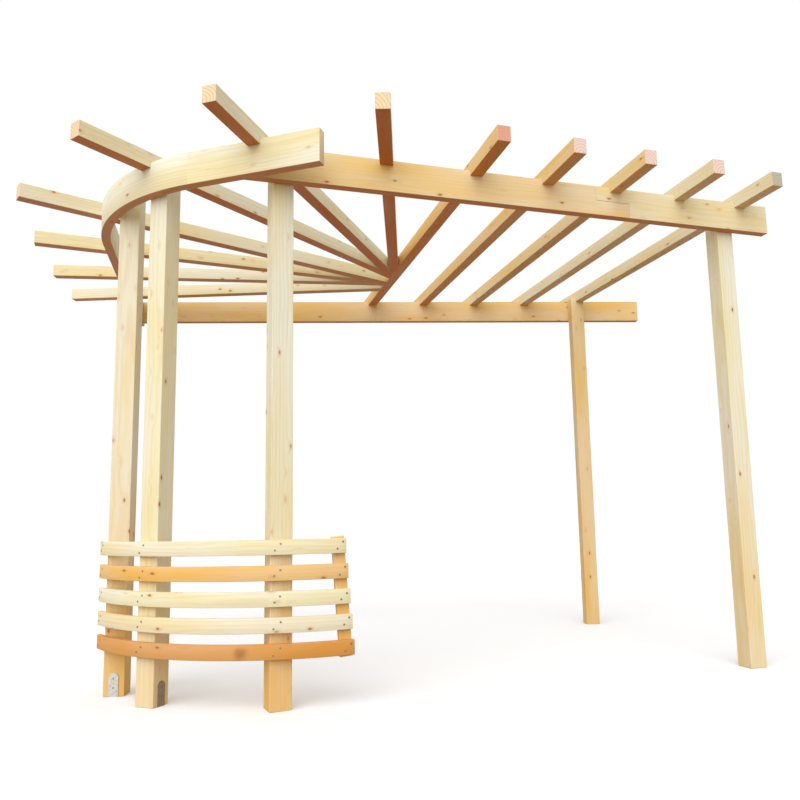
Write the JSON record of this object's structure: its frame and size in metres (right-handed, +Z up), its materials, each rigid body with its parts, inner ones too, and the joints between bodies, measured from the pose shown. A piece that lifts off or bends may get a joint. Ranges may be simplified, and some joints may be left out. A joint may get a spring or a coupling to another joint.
{
  "type": "pergola",
  "caption": "Open softwood garden pergola with square posts, notched plain rafters, a fan of rafters over a curved bow, and a low curved slatted rail.",
  "frame": {"origin": "foot centre of the front left post, on the ground", "axes": "+Z up, +X along the front beam towards its free end, +Y to the rear"},
  "size_m": [3.9964, 3.0148, 2.345],
  "materials": {
    "posts": "matte",
    "beams": "matte",
    "rafters": "matte",
    "slats": "matte",
    "straps": "satin"
  },
  "bodies": {
    "root": {"post_front_left": "posts", "post_front_right": "posts", "post_middle_left": "posts", "post_left_rear": "posts", "post_rear_right": "posts", "post_rear_left": "posts", "bow": "beams", "front_beam_left": "beams", "front_beam_right": "beams", "rear_beam": "beams", "rafter_1": "rafters", "rafter_2": "rafters", "rafter_3": "rafters", "rafter_4": "rafters", "rafter_5": "rafters", "fan_rafter_1": "rafters", "fan_rafter_2": "rafters", "fan_rafter_3": "rafters", "fan_rafter_4": "rafters", "fan_rafter_5": "rafters", "fan_rafter_6": "rafters", "fan_rafter_7": "rafters", "slat_1": "slats", "slat_2": "slats", "slat_3": "slats", "slat_4": "slats", "slat_5": "slats", "end_upright": "slats", "strap_left_rear": "straps", "strap_middle_left": "straps"}
  },
  "joints": []
}
